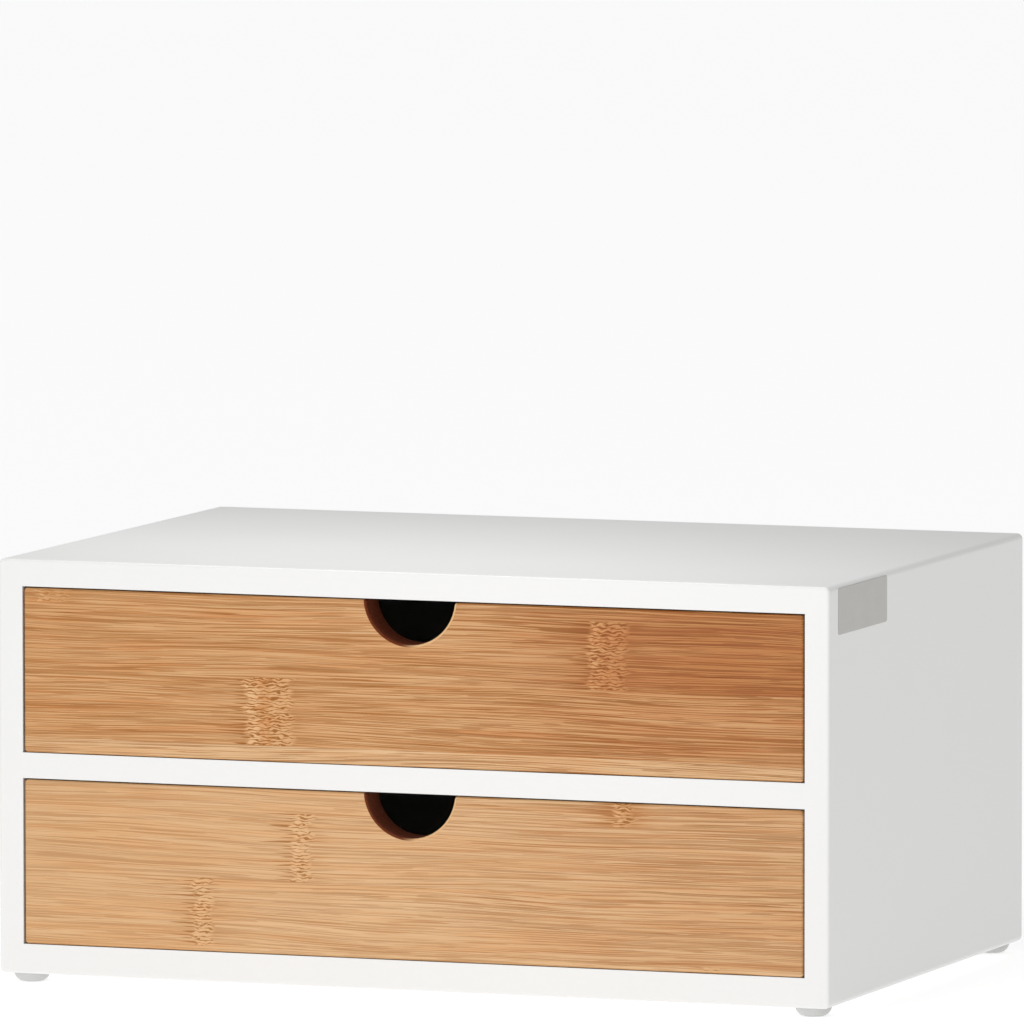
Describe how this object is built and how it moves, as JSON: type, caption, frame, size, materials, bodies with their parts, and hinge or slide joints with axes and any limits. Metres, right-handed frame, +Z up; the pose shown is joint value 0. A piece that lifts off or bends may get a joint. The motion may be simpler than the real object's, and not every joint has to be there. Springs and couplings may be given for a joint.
{
  "type": "coffee capsule organizer",
  "caption": "Low lacquered storage box on small feet, with stacked bamboo-fronted drawers that pull out by half-round finger cut-outs.",
  "frame": {"origin": "on the ground plane that the feet stand on, under the middle of the carcase", "axes": "+X to the right as seen from the front, +Y to the back (the drawers pull out along -Y), +Z up"},
  "size_m": [0.308, 0.21, 0.1495],
  "materials": {
    "white_lacquer": "medium-density fibreboard under satin white lacquer",
    "white_back_board": "thin hardboard, white on its faces",
    "drawer_lacquer": "medium-density fibreboard under thin white lacquer",
    "drawer_base_board": "thin hardboard, white on its faces",
    "bamboo": "laminated flat-pressed bamboo under clear satin varnish",
    "beech": "plain turned dowel rod",
    "foot_rubber": "soft light grey polyurethane"
  },
  "bodies": {
    "carcase": {"top_panel": "white_lacquer", "bottom_panel": "white_lacquer", "left_side_panel": "white_lacquer", "right_side_panel": "white_lacquer", "middle_shelf": "white_lacquer", "back_panel": "white_back_board", "carcase_dowels": "beech", "front_left_foot": "foot_rubber", "front_right_foot": "foot_rubber", "rear_left_foot": "foot_rubber", "rear_right_foot": "foot_rubber"},
    "lower_drawer": {"lower_drawer_front": "bamboo", "lower_drawer_left_side": "drawer_lacquer", "lower_drawer_right_side": "drawer_lacquer", "lower_drawer_back": "drawer_lacquer", "lower_drawer_bottom": "drawer_base_board"},
    "upper_drawer": {"upper_drawer_front": "bamboo", "upper_drawer_left_side": "drawer_lacquer", "upper_drawer_right_side": "drawer_lacquer", "upper_drawer_back": "drawer_lacquer", "upper_drawer_bottom": "drawer_base_board"}
  },
  "joints": [
    {"name": "lower_drawer_slide", "type": "slide", "parent": "carcase", "child": "lower_drawer", "axis": [0, -1, 0], "range_m": [0, 0.16]},
    {"name": "upper_drawer_slide", "type": "slide", "parent": "carcase", "child": "upper_drawer", "axis": [0, -1, 0], "range_m": [0, 0.16]}
  ]
}
